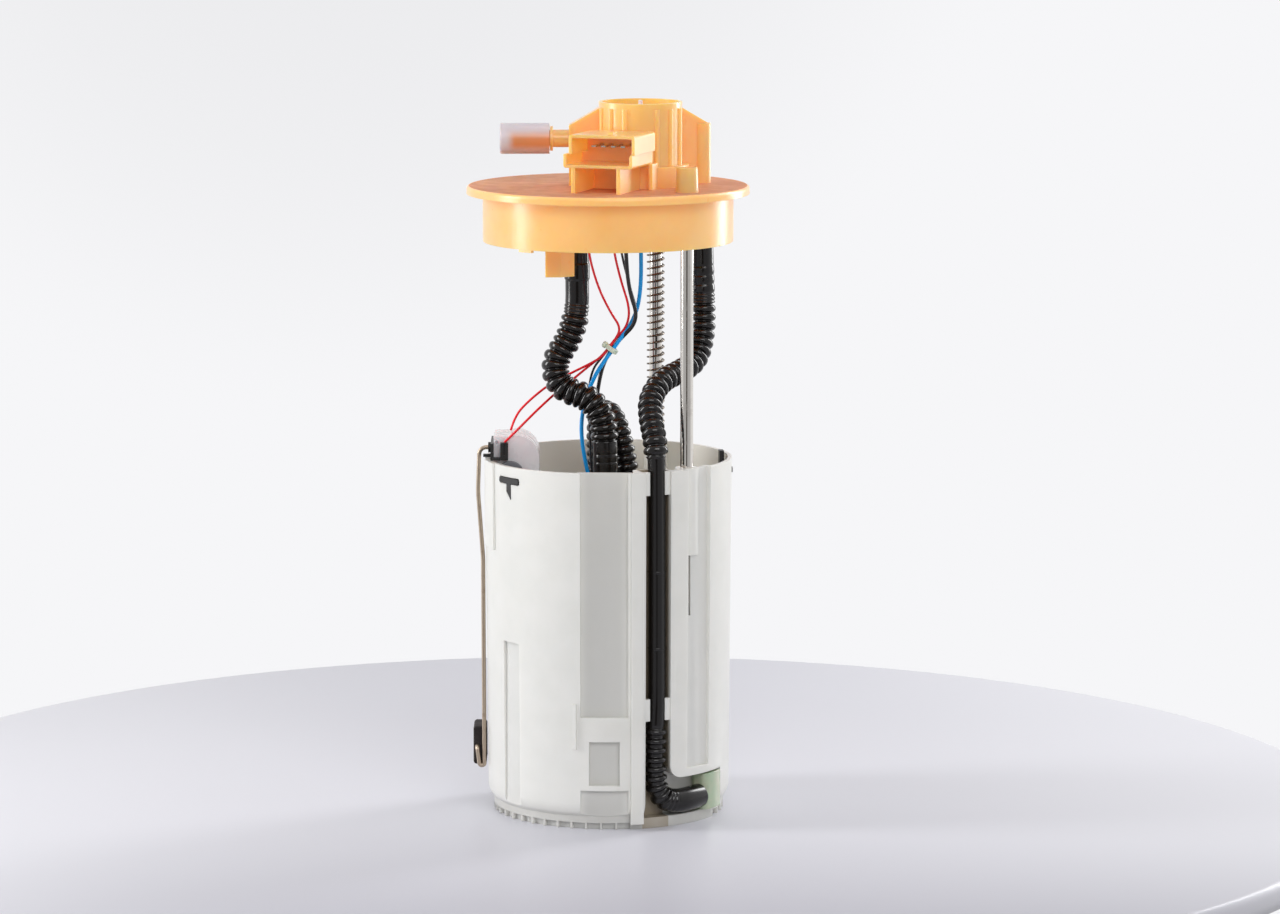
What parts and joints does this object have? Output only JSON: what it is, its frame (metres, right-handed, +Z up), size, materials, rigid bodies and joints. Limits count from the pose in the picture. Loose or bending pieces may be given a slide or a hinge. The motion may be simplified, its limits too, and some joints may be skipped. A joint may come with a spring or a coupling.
{
  "type": "fuel pump module",
  "caption": "In-tank fuel pump module: orange flange with nipple and connector, sprung on guide rods above an off-white reservoir cup with pump, hoses, wires and a level sender with float.",
  "frame": {"origin": "centre of the foot ring's underside, on the floor of the tank", "axes": "+Z up along the guide rods, -Y towards the side the connector faces, -X along the fuel nipple"},
  "size_m": [0.14, 0.14, 0.3551],
  "materials": {
    "orange_acetal": "satin moulded acetal",
    "tinned_brass": "tin plated",
    "white_plastic": "smooth moulding",
    "polished_steel": "polished",
    "spring_steel": "drawn wire",
    "milky_plastic": "translucent milky",
    "cup_plastic": "natural acetal, slightly translucent",
    "can_steel": "rolled and plated",
    "black_plastic": "moulded",
    "cast_alloy": "die cast",
    "strainer_mesh": "fine nylon mesh",
    "black_rubber": "moulded rubber",
    "green_plastic": "pale green, translucent",
    "ceramic": "ceramic with printed tracks",
    "grey_disc": "smooth",
    "arm_steel": "drawn wire",
    "float_rubber": "closed cell nitrile",
    "hose_black": "glossy corrugated nylon",
    "red_wire": "smooth insulation",
    "black_wire": "smooth insulation",
    "blue_wire": "smooth insulation",
    "tie_nylon": "natural nylon"
  },
  "bodies": {
    "reservoir": {"reservoir_cup": "cup_plastic", "pump_can": "can_steel", "pump_outlet_cap": "black_plastic", "pump_inlet_cover": "cast_alloy", "inlet_strainer": "strainer_mesh", "pump_sleeve": "black_rubber", "pump_holder": "black_plastic", "pressure_regulator": "black_plastic", "pump_plug": "black_plastic", "foot_valve": "black_rubber", "jet_fitting": "green_plastic", "sender_housing": "white_plastic", "sender_card": "ceramic", "sender_bracket": "black_plastic", "sender_terminals": "black_plastic", "sender_disc": "grey_disc", "spring_seat": "spring_steel", "link_hose": "hose_black", "spring": "spring_steel", "supply_hose": "hose_black", "return_hose": "hose_black", "red_wire_upper": "red_wire", "red_wire_lower": "red_wire", "black_wire_thin": "black_wire", "black_wire_thick": "black_wire", "blue_wire": "blue_wire", "cable_tie": "tie_nylon"},
    "flange": {"flange_cover": "orange_acetal", "connector_pins": "tinned_brass", "tower_valve": "white_plastic", "guide_rod_front": "polished_steel", "guide_rod_rear": "polished_steel", "rod_clip": "spring_steel"},
    "transport_cap": {"transport_cap": "milky_plastic"},
    "float_arm": {"sender_hub": "black_plastic", "sender_wiper": "spring_steel", "float_arm_wire": "arm_steel", "float": "float_rubber"}
  },
  "joints": [
    {"name": "flange_slide", "type": "slide", "parent": "reservoir", "child": "flange", "axis": [0, 0, -1], "range_m": [0, 0.08], "stiffness_N_per_m": 150, "springref_m": -0.1, "deforming": ["spring", "supply_hose", "return_hose", "red_wire_upper", "red_wire_lower", "black_wire_thin", "black_wire_thick", "blue_wire", "cable_tie"]},
    {"name": "float_swing", "type": "hinge", "parent": "reservoir", "child": "float_arm", "pos_m": [-0.06, 0, 0.182], "axis": [1, 0, 0], "range_deg": [0, 95]},
    {"name": "transport_cap_pull", "type": "slide", "parent": "flange", "child": "transport_cap", "axis": [-1, 0, 0], "range_m": [0, 0.06]}
  ]
}
